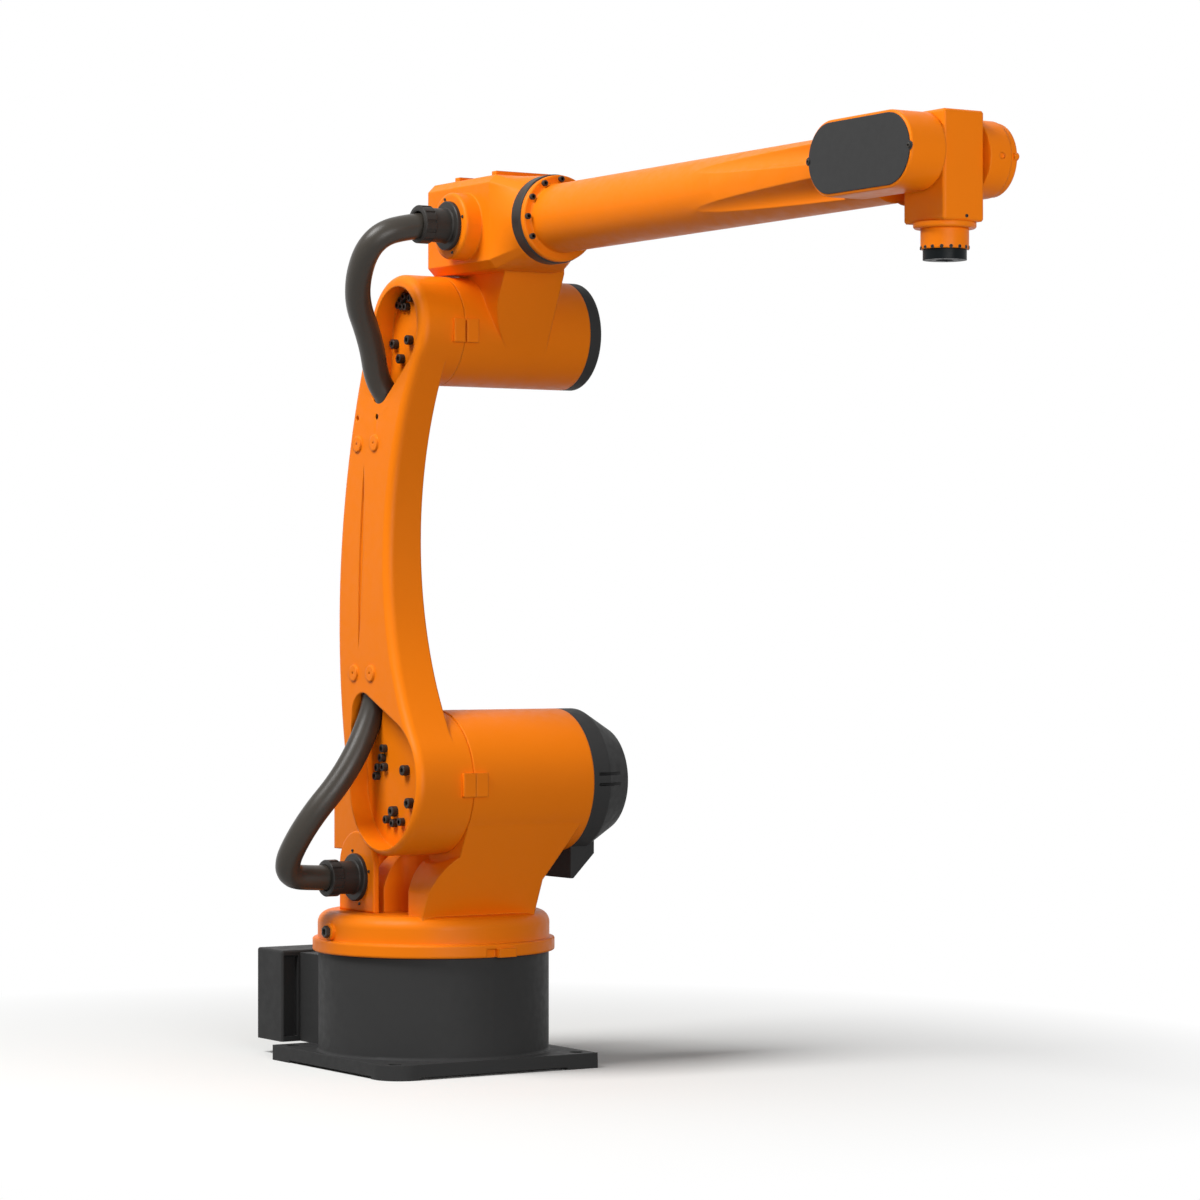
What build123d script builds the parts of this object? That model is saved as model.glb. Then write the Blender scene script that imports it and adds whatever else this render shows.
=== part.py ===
"""Six-axis industrial robot arm on a square bolt-down base, with outside hoses at the shoulder and elbow.

Millimetres. +Z is up and the arm reaches along +X. The origin is on the first axis, on the floor.
The lower arm stands upright, the forearm is level and the tool flange points down.
"""

import os
from math import acos, atan2, cos, hypot, radians, sin

from build123d import *

os.makedirs("parts", exist_ok=True)

# Axes of the arm
shoulder_x = 130
shoulder_z = 470
lower_arm_length = 728
elbow_rise = 163.5
wrist_x = 1376
elbow_z = shoulder_z + lower_arm_length
forearm_z = elbow_z + elbow_rise

# Clearances
seam_gap = 0.5
swing_gap = 6.0
seat_gap = 0.3

# Base
plate_side = 392
plate_thickness = 25
plate_corner_radius = 5
plate_front_corner_radius = 48
foot_length = 58
edge_relief_depth = 30
edge_relief_height = 4
anchor_spacing = 340
anchor_hole = 22
drum_radius = 190
drum_top = 189
drum_foot_round = 5
neck_half_width = 128
box_front_x = -225
box_rear_x = -314
box_half_width = 163
box_bottom = plate_thickness
box_top = 178
box_recess_depth = 12
box_recess_rim = 9
box_edge = 4

# Turning carousel
lip_radius = 199.5
lip_bottom = drum_top + seam_gap
lip_top = 211
lip_round = 3
ring_radius = 191
ring_top = 255
ring_round = 20
skirt_front_x = 150
skirt_rear_x = -35
skirt_left_y = -108
skirt_right_y = 104
skirt_left_bulge = (-104, 308)
skirt_waist_y = 101
skirt_waist_z = 310
skirt_right_bulge = (126, 362)
barrel_radius = 117
barrel_left_y = -68
barrel_right_y = 157
barrel_bottom = shoulder_z - barrel_radius
skirt_front_angle = radians(20)
skirt_rear_angle = radians(10)
skirt_crest = (
    shoulder_x + barrel_radius * cos(skirt_front_angle),
    shoulder_z - barrel_radius * sin(skirt_front_angle),
)
skirt_back = (
    shoulder_x - barrel_radius * cos(skirt_rear_angle),
    shoulder_z - barrel_radius * sin(skirt_rear_angle),
)
tower_front_x = -52
tower_rear_x = -160
tower_left_y = -78
tower_right_y = 60
tower_step_z = 350
tower_overhang = 30
tower_top = 450
tower_round = 14
recess_front_x = 104
recess_rear_x = 24
recess_y = -52
recess_round = 26
stop_lug_width = 34
stop_lug_height = 14
stop_lug_proud = 6
stop_lug_angle = 5.5
stop_slot_width = 19
stop_slot_depth = 7
plug_angle = -91
plug_radius = 10
plug_height = 7
plug_boss_radius = 14
plug_boss_proud = 6
plug_z = 226

# Gland plate at the back of the carousel
gland_plate_x = -29
gland_plate_width = 115
gland_plate_face_y = -130
gland_plate_thickness = 10
gland_plate_arch_z = 329
gland_plate_round = 3
lower_gland_z = 311

# Shoulder motor cover
cover_flat_end_y = 188
cover_end_y = 245
cover_end_radius = 84
cover_round = 8
cover_skirt_half_width = 45
cover_skirt_bottom = 310
cover_skirt_foot_y = 162
cover_skirt_slope = 40
cover_slot_rises = (-4.5, 12.5)
cover_slot_start_y = 167
cover_slot_end_y = 222
cover_slot_height = 5
cover_slot_floor = 98

# Lower arm
arm_shoulder_radius = barrel_radius - 1.5
arm_elbow_radius = 88
arm_face_y_shoulder = -172
arm_face_y_elbow = -147
arm_inner_y = barrel_left_y - seam_gap
arm_web_y = -95
arm_front_bow = 558
arm_rear_bow = 1147
arm_waist_z = shoulder_z + 383
arm_edge_round = 14
shoulder_pocket_radius = 106
shoulder_pocket_depth = 34
elbow_pocket_radius = 69
elbow_pocket_depth = 36
shoulder_pocket_end = (58, shoulder_z + 111)
shoulder_pocket_end_radius = 34
elbow_pocket_end = (84, elbow_z - 86)
elbow_pocket_end_radius = 31
pad_high_z = elbow_z - 180
pad_low_z = shoulder_z + 176
pad_places = ((18, pad_high_z), (73, pad_high_z), (28, pad_low_z), (83, pad_low_z))
pad_radius = 13
pad_proud = 3
pad_hole = 4
arm_hole_places = ((14, elbow_z - 138), (78, elbow_z - 138))
arm_hole = 9
arm_hole_depth = 16
groove_x = 40
groove_half_width = 6
groove_low_z = shoulder_z + 214
groove_high_z = elbow_z - 215
groove_depth = 3

# Elbow housing
elbow_radius = arm_elbow_radius
elbow_left_y = barrel_left_y
elbow_right_y = 168
elbow_cap_thickness = 23
elbow_cap_round = 5
neck_left_y = -25
neck_left_bulge = (-18, elbow_z + 17)
neck_left_foot_y = 20
neck_right_y = 86
neck_front_x = 268
neck_rear_x = 124
motor_box_rear_x = 109
motor_box_front_x = 300
motor_box_half = 74
motor_box_chamfer = 12.5
seat_front_x = 361
gland_boss_x = 226
gland_boss_z = forearm_z - 3.5
gland_boss_radius = 53
gland_boss_proud = 30
gland_boss_round = 5

# Forearm
seal_radius = 70
seal_thickness = 24
seal_round = 3
forearm_flange_thickness = 9
forearm_flange_radius = 68
forearm_flange_round = 3
forearm_radius_rear = 54
forearm_radius_front = 53
forearm_end_x = wrist_x - 114
flute_start_x = forearm_end_x - 432
flute_radius = 26
flute_depth = 17
flute_angle = 32

# Wrist
fork_inner_y = 38
belt_housing_outer_y = -96
belt_radius = 53
belt_centre_distance = 132
belt_rise = 5
belt_cover_inset = 4
belt_cover_proud = 1.5
belt_lug_radius = 6
fork_right_y = 86
fork_web_y = 74
fork_radius = 51
fork_edge_round = 3
fork_plug_y = 58
fork_plug_radius = 4.5
fork_plug_depth = 3
wrist_block_front = 43
wrist_block_rear = 48
wrist_block_half = 34.5
wrist_block_top = 60
wrist_block_bottom = 90
wrist_block_chamfer = 3
trunnion_radius = 30
collar_radius = 43
collar_height = 8
collar_bevel = 2
wrist_neck_radius = 33
wrist_neck_height = 28
flange_radius = 30
flange_thickness = 14
flange_pcd = 40
flange_hole = 5
flange_hole_depth = 10
flange_pilot = 25
flange_pilot_depth = 6

# Ribs across the top of the motor box
rib_places = (165, 279)
rib_thickness = 14
rib_half_length = 52
rib_height = 8

# Hoses
hose_radius = 20.5
sleeve_radius = 26
sleeve_length = 46
gland_nut_radius = 39
gland_nut_length = 13
hose_room = 2.0

# Zero marks
mark_width = 22
mark_height = 38
mark_proud = 5
elbow_mark_drop = 4
elbow_mark_relief = 2.5

# Hose routes, from the arm to each gland
arm_hose_points = ((50, -140, shoulder_z + 136), (50, -129, arm_waist_z), (78, -128.5, elbow_z - 138))
arm_hose_bend = 900


def beyond(start, end, length):
    """The point this far past the end of a straight run."""
    return Vector(end) + (Vector(end) - Vector(start)).normalized() * length


lower_hose_points = (
    arm_hose_points[0],
    beyond(arm_hose_points[1], arm_hose_points[0], 21),
    (52, -202, shoulder_z + 12),
    (24, -264, shoulder_z - 72),
    (gland_plate_x, -268, lower_gland_z),
    (gland_plate_x, gland_plate_face_y, lower_gland_z),
)
lower_hose_bends = (50, 150, 60, 50)
upper_hose_points = (
    arm_hose_points[2],
    beyond(arm_hose_points[1], arm_hose_points[2], 16),
    (97, -176, elbow_z - 24),
    (154, -228, elbow_z + 72),
    (gland_boss_x, -236, gland_boss_z),
    (gland_boss_x, -motor_box_half - gland_boss_proud, gland_boss_z),
)
upper_hose_bends = (60, 60, 60, 64)

shoulder_axis = Plane((shoulder_x, 0, shoulder_z), x_dir=(1, 0, 0), z_dir=(0, 1, 0))
elbow_axis = Plane((shoulder_x, 0, elbow_z), x_dir=(1, 0, 0), z_dir=(0, 1, 0))
forearm_axis = Plane((0, 0, forearm_z), x_dir=(0, 1, 0), z_dir=(1, 0, 0))
wrist_axis = Plane((wrist_x, 0, forearm_z), x_dir=(1, 0, 0), z_dir=(0, 1, 0))
tool_axis = Plane((wrist_x, 0, forearm_z), x_dir=(1, 0, 0), z_dir=(0, 0, 1))
plug_direction = (cos(radians(plug_angle)), sin(radians(plug_angle)), 0)
plug_plane = Plane(
    (
        (ring_radius + plug_boss_proud) * plug_direction[0],
        (ring_radius + plug_boss_proud) * plug_direction[1],
        plug_z,
    ),
    z_dir=plug_direction,
)


def save(piece, name):
    """Label a finished piece and write it to its own file."""
    piece.part.label = name
    export_step(piece.part, f"parts/{name}.step")


def upright(y):
    """A plane at this Y that faces -Y, with sketch coordinates that read X and Z."""
    return Plane((0, y, 0), x_dir=(1, 0, 0), z_dir=(0, -1, 0))


# Base casting: square plate with four feet, drum, and the neck towards the connector box
with BuildPart() as base_casting:
    with BuildSketch(Plane.XY):
        plate = Rectangle(plate_side, plate_side)
        front_corner = plate.vertices().sort_by(Axis((0, 0, 0), (1, -1, 0)))[-1]
        fillet(front_corner, plate_front_corner_radius)
        fillet(plate.vertices() - [front_corner], plate_corner_radius)
    extrude(amount=plate_thickness)
    with BuildSketch(Plane.XY):
        with PolarLocations(plate_side / 2, 4):
            Rectangle(2 * edge_relief_depth, plate_side - 2 * foot_length)
    extrude(amount=edge_relief_height, mode=Mode.SUBTRACT)
    with BuildSketch(Plane.XY.offset(plate_thickness)):
        Circle(drum_radius)
    extrude(amount=drum_top - plate_thickness)
    fillet(base_casting.edges(Select.LAST).group_by(Axis.Z)[0], drum_foot_round)
    with BuildSketch(Plane.XY.offset(plate_thickness)):
        with Locations(((box_front_x - plate_side / 4) / 2, 0)):
            Rectangle(-box_front_x - plate_side / 4, 2 * neck_half_width)
    extrude(amount=box_top - box_edge - plate_thickness)
    with Locations((0, 0, plate_thickness)):
        with GridLocations(anchor_spacing, anchor_spacing, 2, 2):
            Hole(anchor_hole / 2, depth=plate_thickness)
save(base_casting, "base_casting")

# Connector box bolted to the neck at the back, with a recess in each shoulder that faces forward
with BuildPart() as connector_box:
    with BuildSketch(Plane.XY.offset(box_bottom)):
        with Locations(((box_front_x + box_rear_x) / 2, 0)):
            Rectangle(box_front_x - box_rear_x, 2 * box_half_width)
    extrude(amount=box_top - box_bottom)
    fillet(connector_box.edges().filter_by(Axis.Z), box_edge)
    fillet(connector_box.faces().sort_by(Axis.Z)[-1].edges(), box_edge)
    shoulder_width = box_half_width - neck_half_width
    with BuildSketch(Plane.YZ.offset(box_front_x)):
        with GridLocations(box_half_width + neck_half_width, 0, 2, 1):
            with Locations((0, (box_top + box_bottom) / 2)):
                Rectangle(shoulder_width - box_recess_rim, box_top - box_bottom - 2 * box_recess_rim)
    extrude(amount=-box_recess_depth, mode=Mode.SUBTRACT)
save(connector_box, "connector_box")

# Carousel casting: lip, ring, skirt, shoulder barrel, waist motor tower, stop lug and plug boss
with BuildPart() as carousel:
    with BuildSketch(upright(skirt_left_y)):
        with BuildLine():
            Polyline(
                (skirt_rear_x, ring_top - ring_round),
                (skirt_front_x, ring_top - ring_round),
                (skirt_front_x, ring_top),
                skirt_crest,
                (shoulder_x, shoulder_z),
                skirt_back,
                (skirt_rear_x, ring_top),
                close=True,
            )
        make_face()
    extrude(amount=skirt_left_y - barrel_right_y)
    with BuildSketch(Plane.YZ.offset(skirt_rear_x)):
        with BuildLine():
            Line((skirt_left_y, ring_top - ring_round), (skirt_left_y, ring_top))
            ThreePointArc((skirt_left_y, ring_top), skirt_left_bulge, (barrel_left_y, barrel_bottom))
            Line((barrel_left_y, barrel_bottom), (barrel_left_y, shoulder_z))
            Line((barrel_left_y, shoulder_z), (barrel_right_y, shoulder_z))
            Line((barrel_right_y, shoulder_z), (barrel_right_y, skirt_crest[1]))
            ThreePointArc((barrel_right_y, skirt_crest[1]), skirt_right_bulge, (skirt_waist_y, skirt_waist_z))
            Line((skirt_waist_y, skirt_waist_z), (skirt_right_y, ring_top - ring_round))
            Line((skirt_right_y, ring_top - ring_round), (skirt_left_y, ring_top - ring_round))
        make_face()
    extrude(amount=shoulder_x + barrel_radius - skirt_rear_x, mode=Mode.INTERSECT)
    with BuildSketch(Plane.XY.offset(ring_top)):
        with Locations(((recess_front_x + recess_rear_x) / 2, (recess_y + 2 * skirt_left_y) / 2)):
            RectangleRounded(recess_front_x - recess_rear_x, recess_y - 2 * skirt_left_y, recess_round)
    extrude(amount=shoulder_z - ring_top, mode=Mode.SUBTRACT)
    with BuildSketch(shoulder_axis.offset(skirt_left_y - swing_gap)):
        Circle(hypot(barrel_radius + mark_proud, mark_height / 2) + swing_gap)
    extrude(amount=barrel_left_y - skirt_left_y + swing_gap, mode=Mode.SUBTRACT)
    with BuildSketch(Plane.XZ):
        with BuildLine():
            Polyline(
                (ring_radius - ring_round, ring_top),
                (0, ring_top),
                (0, lip_bottom),
                (lip_radius, lip_bottom),
                (lip_radius, lip_top),
                (ring_radius, lip_top),
                (ring_radius, ring_top - ring_round),
            )
            RadiusArc((ring_radius, ring_top - ring_round), (ring_radius - ring_round, ring_top), -ring_round)
        rings = make_face()
        fillet(rings.vertices().group_by(Axis.X)[-1], lip_round)
    revolve(axis=Axis.Z)
    with BuildSketch(shoulder_axis.offset(barrel_left_y)):
        Circle(barrel_radius)
    extrude(amount=barrel_right_y - barrel_left_y)
    with BuildSketch(Plane.XY.offset(ring_top - ring_round)):
        with Locations(((tower_front_x + tower_rear_x) / 2, (tower_left_y + tower_right_y) / 2)):
            RectangleRounded(tower_front_x - tower_rear_x, tower_right_y - tower_left_y, tower_round)
    extrude(amount=tower_step_z - ring_top + ring_round)
    motor_rear_x = tower_rear_x - tower_overhang
    motor_left_y = tower_left_y - tower_overhang / 3
    with BuildSketch(Plane.XY.offset(tower_step_z)):
        with Locations(((tower_front_x + motor_rear_x) / 2, (motor_left_y + tower_right_y) / 2)):
            RectangleRounded(tower_front_x - motor_rear_x, tower_right_y - motor_left_y, tower_round)
    extrude(amount=tower_top - tower_step_z)
    stop_plane = Plane.XY.offset(lip_bottom).rotated((0, 0, stop_lug_angle))
    with BuildSketch(stop_plane):
        with Locations((lip_radius, -(stop_lug_width + stop_slot_width) / 2)):
            Rectangle(2 * stop_slot_depth, stop_slot_width)
    extrude(amount=stop_lug_height, mode=Mode.SUBTRACT)
    with BuildSketch(stop_plane):
        with Locations((lip_radius, 0)):
            Rectangle(2 * stop_lug_proud, stop_lug_width)
    extrude(amount=stop_lug_height)
    with BuildSketch(plug_plane):
        Circle(plug_boss_radius)
    extrude(amount=-ring_radius / 4)
save(carousel, "carousel_casting")

# Oil plug: a hexagon head on the boss at the left of the ring
with BuildPart() as oil_plug:
    with BuildSketch(plug_plane):
        RegularPolygon(plug_radius, 6)
    extrude(amount=plug_height)
save(oil_plug, "oil_plug")

# Gland plate: an arched upright plate that carries the lower hose
with BuildPart() as gland_plate:
    with BuildSketch(upright(gland_plate_face_y)):
        with Locations((gland_plate_x, gland_plate_arch_z)):
            Circle(gland_plate_width / 2)
        with Locations((gland_plate_x, (gland_plate_arch_z + ring_top) / 2)):
            Rectangle(gland_plate_width, gland_plate_arch_z - ring_top)
    extrude(amount=-gland_plate_thickness)
    fillet(gland_plate.faces().sort_by(Axis.Y)[0].edges(), gland_plate_round)
save(gland_plate, "gland_plate")

# Shoulder motor cover: a turned cap with a bevelled end and a skirt below
with BuildPart() as motor_cover:
    with BuildSketch(Plane.XY):
        with BuildLine():
            Polyline(
                (0, barrel_right_y),
                (barrel_radius, barrel_right_y),
                (barrel_radius, cover_flat_end_y),
                (cover_end_radius, cover_end_y),
                (0, cover_end_y),
                close=True,
            )
        cap = make_face()
        cap_corners = cap.vertices().group_by(Axis.Y)
        fillet(cap_corners[1] + cap_corners[2].sort_by(Axis.X)[-1:], cover_round)
    revolve(axis=Axis.Y)
    with BuildSketch(Plane.YZ.offset(-cover_skirt_half_width)):
        with BuildLine():
            Polyline(
                (barrel_right_y, 0),
                (cover_skirt_foot_y + cover_skirt_slope, 0),
                (cover_skirt_foot_y + cover_skirt_slope, cover_skirt_bottom - shoulder_z + cover_skirt_slope),
                (cover_skirt_foot_y, cover_skirt_bottom - shoulder_z),
                (barrel_right_y, cover_skirt_bottom - shoulder_z),
                close=True,
            )
        make_face()
    extrude(amount=2 * cover_skirt_half_width)
    with BuildSketch(Plane.YZ.offset(cover_slot_floor)):
        for rise in cover_slot_rises:
            with Locations(((cover_slot_start_y + cover_slot_end_y) / 2, rise)):
                Rectangle(cover_slot_end_y - cover_slot_start_y, cover_slot_height)
    extrude(amount=barrel_radius, mode=Mode.SUBTRACT)
motor_cover.part.locate(Location((shoulder_x, 0, shoulder_z)))
save(motor_cover, "shoulder_motor_cover")


def bow(radius, side):
    """Low end, middle and high end of an arc tangent to both discs of the lower arm.

    Side 1 leaves the discs behind the arc and side -1 holds them inside it.
    """
    low_reach = radius + side * arm_shoulder_radius
    high_reach = radius + side * arm_elbow_radius
    rise = (low_reach**2 - high_reach**2 + lower_arm_length**2) / (2 * lower_arm_length)
    run = (low_reach**2 - rise**2) ** 0.5
    low = (
        shoulder_x + side * arm_shoulder_radius * run / low_reach,
        shoulder_z + side * arm_shoulder_radius * rise / low_reach,
    )
    high = (
        shoulder_x + side * arm_elbow_radius * run / high_reach,
        elbow_z - side * arm_elbow_radius * (lower_arm_length - rise) / high_reach,
    )
    return low, (shoulder_x + run - radius, shoulder_z + rise), high


front_low, front_middle, front_high = bow(arm_front_bow, 1)
rear_low, rear_middle, rear_high = bow(arm_rear_bow, -1)
face_slope = (arm_face_y_elbow - arm_face_y_shoulder) / lower_arm_length
face_stretch = hypot(1, face_slope)
face_plane = Plane(
    (0, arm_face_y_shoulder, shoulder_z),
    x_dir=(1, 0, 0),
    z_dir=(0, -1, face_slope),
)

# Lower arm casting: bowed shank with a pocket at each end and a passage for the hose
with BuildPart() as lower_arm:
    with BuildSketch(upright(arm_inner_y)):
        with BuildLine():
            ThreePointArc(front_low, front_middle, front_high)
            Line(front_high, rear_high)
            ThreePointArc(rear_high, rear_middle, rear_low)
            Line(rear_low, front_low)
        make_face()
        with Locations((shoulder_x, shoulder_z)):
            Circle(arm_shoulder_radius)
        with Locations((shoulder_x, elbow_z)):
            Circle(arm_elbow_radius)
    extrude(amount=arm_inner_y - 2 * arm_face_y_shoulder + arm_face_y_elbow)
    split(bisect_by=face_plane, keep=Keep.BOTTOM)
    fillet(lower_arm.faces().sort_by(Axis.Y)[0].edges(), arm_edge_round)
    with BuildSketch(upright(arm_inner_y)):
        with Locations((shoulder_x, (shoulder_z + elbow_z) / 2)):
            Rectangle(4 * arm_shoulder_radius, lower_arm_length)
        with Locations((shoulder_x, shoulder_z)):
            Circle(arm_shoulder_radius, mode=Mode.SUBTRACT)
        with Locations((shoulder_x, elbow_z)):
            Circle(arm_elbow_radius, mode=Mode.SUBTRACT)
    extrude(amount=arm_inner_y - arm_web_y, mode=Mode.SUBTRACT)
    with BuildSketch(upright(arm_face_y_shoulder + shoulder_pocket_depth)):
        with Locations((shoulder_x, shoulder_z)):
            Circle(shoulder_pocket_radius)
        with Locations(shoulder_pocket_end):
            Circle(shoulder_pocket_end_radius)
        make_hull()
    extrude(amount=shoulder_pocket_depth + arm_edge_round, mode=Mode.SUBTRACT)
    with BuildSketch(upright(arm_face_y_elbow + elbow_pocket_depth)):
        with Locations((shoulder_x, elbow_z)):
            Circle(elbow_pocket_radius)
        with Locations(elbow_pocket_end):
            Circle(elbow_pocket_end_radius)
        make_hull()
    extrude(amount=elbow_pocket_depth + arm_edge_round, mode=Mode.SUBTRACT)
    with BuildSketch(face_plane.offset(-arm_edge_round)):
        with Locations(*[(x, (z - shoulder_z) * face_stretch) for x, z in pad_places]):
            Circle(pad_radius)
    extrude(amount=arm_edge_round + pad_proud)
    with BuildSketch(face_plane.offset(pad_proud)):
        with Locations(*[(x, (z - shoulder_z) * face_stretch) for x, z in pad_places]):
            Circle(pad_hole / 2)
        with Locations(*[(x, (z - shoulder_z) * face_stretch) for x, z in arm_hole_places]):
            Circle(arm_hole / 2)
    extrude(amount=-arm_hole_depth, mode=Mode.SUBTRACT)
    groove_foot = (groove_x, (groove_low_z - shoulder_z) * face_stretch)
    groove_head = (groove_x, (groove_high_z - shoulder_z) * face_stretch)
    groove_middle_z = (groove_foot[1] + groove_head[1]) / 2
    with BuildSketch(face_plane):
        with BuildLine():
            ThreePointArc(groove_foot, (groove_x - groove_half_width, groove_middle_z), groove_head)
            ThreePointArc(groove_head, (groove_x + groove_half_width, groove_middle_z), groove_foot)
        make_face()
    extrude(amount=-groove_depth, mode=Mode.SUBTRACT)
    with BuildLine() as passage:
        FilletPolyline(*arm_hose_points, radius=arm_hose_bend)
    with BuildLine() as lower_way:
        FilletPolyline(*lower_hose_points, radius=lower_hose_bends)
    with BuildLine() as upper_way:
        FilletPolyline(*upper_hose_points, radius=upper_hose_bends)
    for way in (passage, lower_way, upper_way):
        with BuildSketch(way.line ^ 0):
            Circle(hose_radius + hose_room)
        sweep(path=way.line, mode=Mode.SUBTRACT)
save(lower_arm, "lower_arm")

# Elbow housing: barrel, neck, motor box, the round seat of the forearm and the boss of the upper gland
neck_top_z = forearm_z - motor_box_half
neck_reach = (neck_front_x - shoulder_x, neck_top_z - elbow_z)
neck_foot_angle = atan2(neck_reach[1], neck_reach[0]) - acos(elbow_radius / hypot(*neck_reach))
neck_foot = (
    shoulder_x + elbow_radius * cos(neck_foot_angle),
    elbow_z + elbow_radius * sin(neck_foot_angle),
)
box_flat = motor_box_half - motor_box_chamfer
box_corners = [
    (motor_box_half, -box_flat),
    (motor_box_half, box_flat),
    (box_flat, motor_box_half),
    (-box_flat, motor_box_half),
    (-motor_box_half, box_flat),
    (-motor_box_half, -box_flat),
    (-box_flat, -motor_box_half),
    (box_flat, -motor_box_half),
]
seat_points = [Vector(*corner).normalized() * seal_radius for corner in box_corners]
with BuildPart() as elbow_housing:
    with BuildSketch(upright(neck_left_y)):
        with BuildLine():
            Polyline(
                (shoulder_x, elbow_z),
                neck_foot,
                (neck_front_x, neck_top_z),
                (neck_front_x, forearm_z),
                (neck_rear_x, forearm_z),
                (neck_rear_x, elbow_z),
                close=True,
            )
        make_face()
    extrude(amount=neck_left_y - neck_right_y)
    with BuildSketch(Plane.YZ.offset(neck_rear_x)):
        with BuildLine():
            Line((neck_left_foot_y, neck_foot[1]), (neck_right_y, neck_foot[1]))
            Line((neck_right_y, neck_foot[1]), (neck_right_y, forearm_z))
            Line((neck_right_y, forearm_z), (neck_left_y, forearm_z))
            Line((neck_left_y, forearm_z), (neck_left_y, neck_top_z))
            ThreePointArc((neck_left_y, neck_top_z), neck_left_bulge, (neck_left_foot_y, neck_foot[1]))
        make_face()
    extrude(amount=neck_front_x - neck_rear_x, mode=Mode.INTERSECT)
    with BuildSketch(elbow_axis.offset(elbow_left_y)):
        Circle(elbow_radius)
    extrude(amount=elbow_right_y - elbow_left_y)
    with BuildSketch(forearm_axis.offset(motor_box_rear_x)):
        with BuildLine():
            Polyline(*box_corners, close=True)
        make_face()
    extrude(amount=motor_box_front_x - motor_box_rear_x)
    with BuildSketch(forearm_axis.offset(motor_box_front_x)):
        with BuildLine():
            Polyline(*box_corners, close=True)
        make_face()
    with BuildSketch(forearm_axis.offset(seat_front_x)):
        with BuildLine():
            for first, last in zip(seat_points, seat_points[1:] + seat_points[:1]):
                RadiusArc(first, last, -seal_radius)
        make_face()
    loft(ruled=True)
    with BuildSketch(Plane((gland_boss_x, -motor_box_half, gland_boss_z), x_dir=(1, 0, 0), z_dir=(0, -1, 0))):
        Circle(gland_boss_radius)
    extrude(amount=gland_boss_proud)
    fillet(elbow_housing.faces().sort_by(Axis.Y)[0].edges(), gland_boss_round)
save(elbow_housing, "elbow_housing")

# Elbow motor cap: a flat disc with a rounded edge
with BuildPart() as elbow_cap:
    with BuildSketch(elbow_axis.offset(elbow_right_y)):
        Circle(elbow_radius)
    extrude(amount=elbow_cap_thickness)
    fillet(elbow_cap.faces().sort_by(Axis.Y)[-1].edges(), elbow_cap_round)
save(elbow_cap, "elbow_motor_cap")

# Seal ring between the motor box and the forearm
with BuildPart() as seal_ring:
    with BuildSketch(forearm_axis.offset(seat_front_x)):
        Circle(seal_radius)
    extrude(amount=seal_thickness)
    fillet(seal_ring.faces().sort_by(Axis.X)[-1].edges(), seal_round)
save(seal_ring, "forearm_seal_ring")

# Forearm casting: bolting flange, tapered tube and the two fork arms of the wrist
forearm_start_x = seat_front_x + seal_thickness + seam_gap
fork_middle_x = wrist_x - belt_centre_distance / 2
fork_rear_x = wrist_x - belt_centre_distance - belt_radius
flange_end_x = forearm_start_x + forearm_flange_thickness
with BuildPart() as forearm:
    with BuildSketch(Plane.XY):
        with BuildLine():
            Polyline(
                (forearm_start_x, 0),
                (forearm_start_x, forearm_flange_radius),
                (flange_end_x, forearm_flange_radius),
                (flange_end_x, forearm_radius_rear),
                (forearm_end_x, forearm_radius_front),
                (forearm_end_x, 0),
                close=True,
            )
        tube_outline = make_face()
        fillet(tube_outline.vertices().group_by(Axis.X)[1], forearm_flange_round)
    revolve(axis=Axis.X)
    for inner_y, outer_y, rise in (
        (-fork_inner_y, belt_housing_outer_y, belt_rise),
        (fork_inner_y, fork_web_y, 0),
    ):
        with BuildSketch(Plane((fork_middle_x, inner_y, rise), x_dir=(1, 0, 0), z_dir=(0, 1, 0))):
            SlotCenterToCenter(belt_centre_distance, 2 * belt_radius)
        extrude(amount=outer_y - inner_y)
    with BuildSketch(Plane((wrist_x, fork_web_y, 0), x_dir=(1, 0, 0), z_dir=(0, 1, 0))):
        Circle(fork_radius)
    extrude(amount=fork_right_y - fork_web_y)
    fillet(forearm.faces().sort_by(Axis.Y)[-1].edges(), fork_edge_round)
    fillet(forearm.faces().sort_by(Axis.Y)[0].edges(), fork_edge_round)
    with BuildSketch(Plane.YZ.offset(wrist_x + belt_radius)):
        with Locations((fork_plug_y, 0)):
            Circle(fork_plug_radius)
    extrude(amount=-fork_plug_depth, mode=Mode.SUBTRACT)
    for flute_turn in (flute_angle, -flute_angle, 180 - flute_angle, 180 + flute_angle):
        flute_side = Vector(0, cos(radians(flute_turn)), sin(radians(flute_turn)))
        flute_head = Vector(flute_start_x, 0, 0) + flute_side * (forearm_radius_rear + flute_radius)
        flute_reach = forearm_radius_front + flute_radius - flute_depth
        flute_foot = Vector(forearm_end_x, 0, 0) + flute_side * flute_reach
        with BuildSketch(Plane(flute_head, z_dir=flute_foot - flute_head)):
            Circle(flute_radius)
        extrude(amount=fork_rear_x - flute_start_x, mode=Mode.SUBTRACT)
forearm.part.locate(Location((0, 0, forearm_z)))
save(forearm, "forearm_casting")

# Belt cover: the flat dark lid of the belt housing
with BuildPart() as belt_cover:
    with BuildSketch(
        Plane(
            (fork_middle_x, belt_housing_outer_y, forearm_z + belt_rise),
            x_dir=(1, 0, 0),
            z_dir=(0, -1, 0),
        )
    ):
        cover_outline = SlotCenterToCenter(belt_centre_distance, 2 * (belt_radius - belt_cover_inset))
        with GridLocations(cover_outline.bounding_box().size.X, 0, 2, 1):
            Circle(belt_lug_radius)
    extrude(amount=belt_cover_proud)
save(belt_cover, "belt_cover")

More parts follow.
